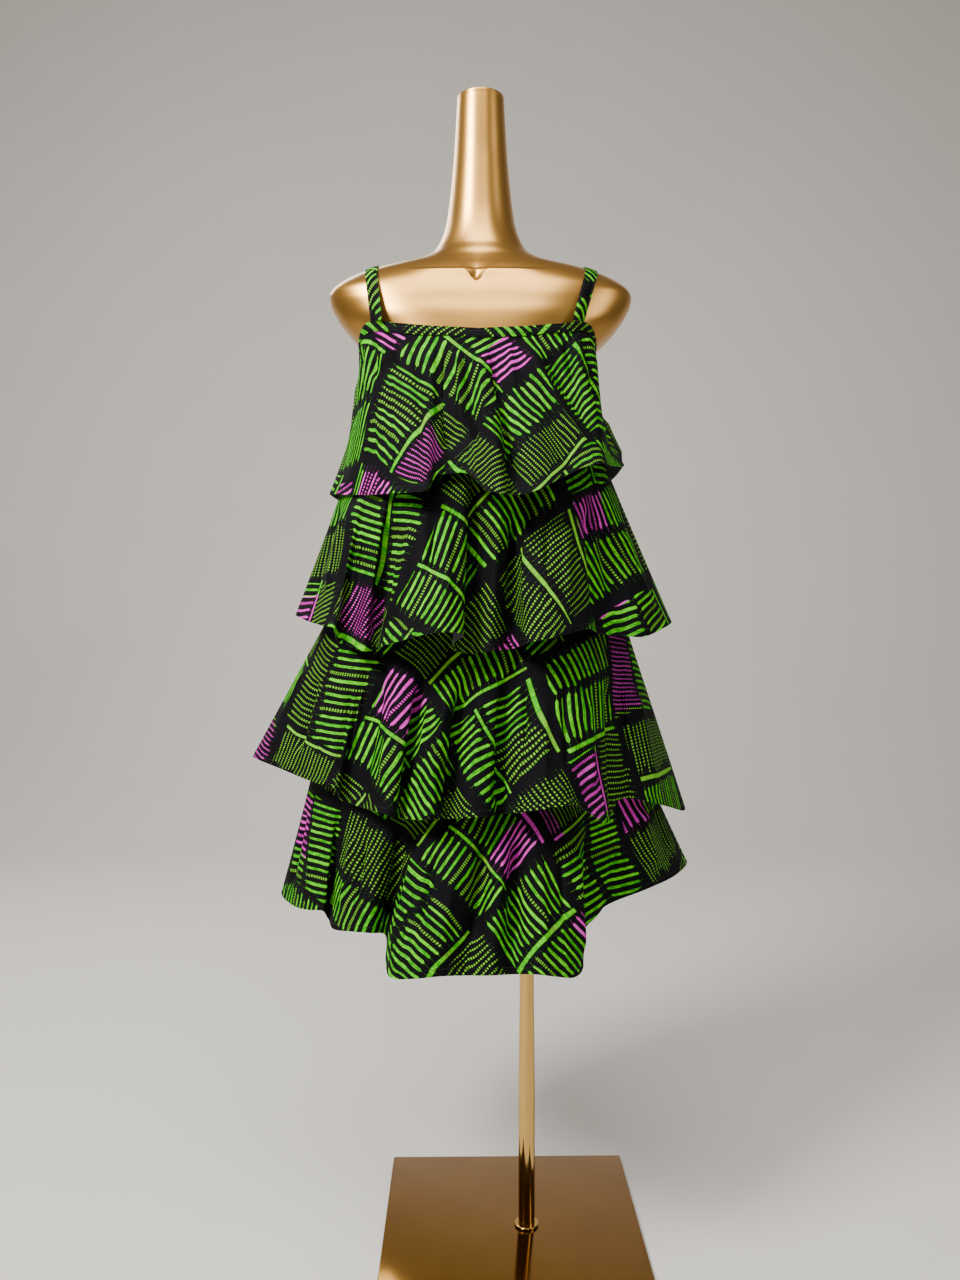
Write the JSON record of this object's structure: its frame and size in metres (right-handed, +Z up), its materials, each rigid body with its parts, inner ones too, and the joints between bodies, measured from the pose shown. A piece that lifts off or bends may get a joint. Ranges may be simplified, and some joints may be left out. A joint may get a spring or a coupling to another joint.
{
  "type": "layered dress on dress form",
  "caption": "Sleeveless tiered dress with shoulder straps and deep gathered flounces, on a limbless dress form with a slim pole and a flat square plate.",
  "frame": {"origin": "centre of the stand plate's underside, on the floor", "axes": "+Z up along the pole, +X to the right side as the front is looked at, +Y to the back"},
  "size_m": [0.5972, 0.496, 1.542],
  "materials": {
    "printed_cotton": "printed light cotton, matte, with a dull grey reverse",
    "satin_gold": "satin champagne gold lacquer on a moulded shell",
    "polished_brass": "polished brass plating"
  },
  "bodies": {
    "root": {"base_plate": "polished_brass", "pole": "polished_brass", "foot_ring": "polished_brass", "form_socket": "polished_brass", "form_torso": "satin_gold", "neck_cap": "satin_gold", "foundation_front": "printed_cotton", "foundation_back": "printed_cotton", "flounce_1_front": "printed_cotton", "flounce_1_back": "printed_cotton", "flounce_2_front": "printed_cotton", "flounce_2_back": "printed_cotton", "flounce_3_front": "printed_cotton", "flounce_3_back": "printed_cotton", "flounce_4_front": "printed_cotton", "flounce_4_back": "printed_cotton", "top_band_front": "printed_cotton", "top_band_back": "printed_cotton", "strap_left": "printed_cotton", "strap_right": "printed_cotton"}
  },
  "joints": []
}
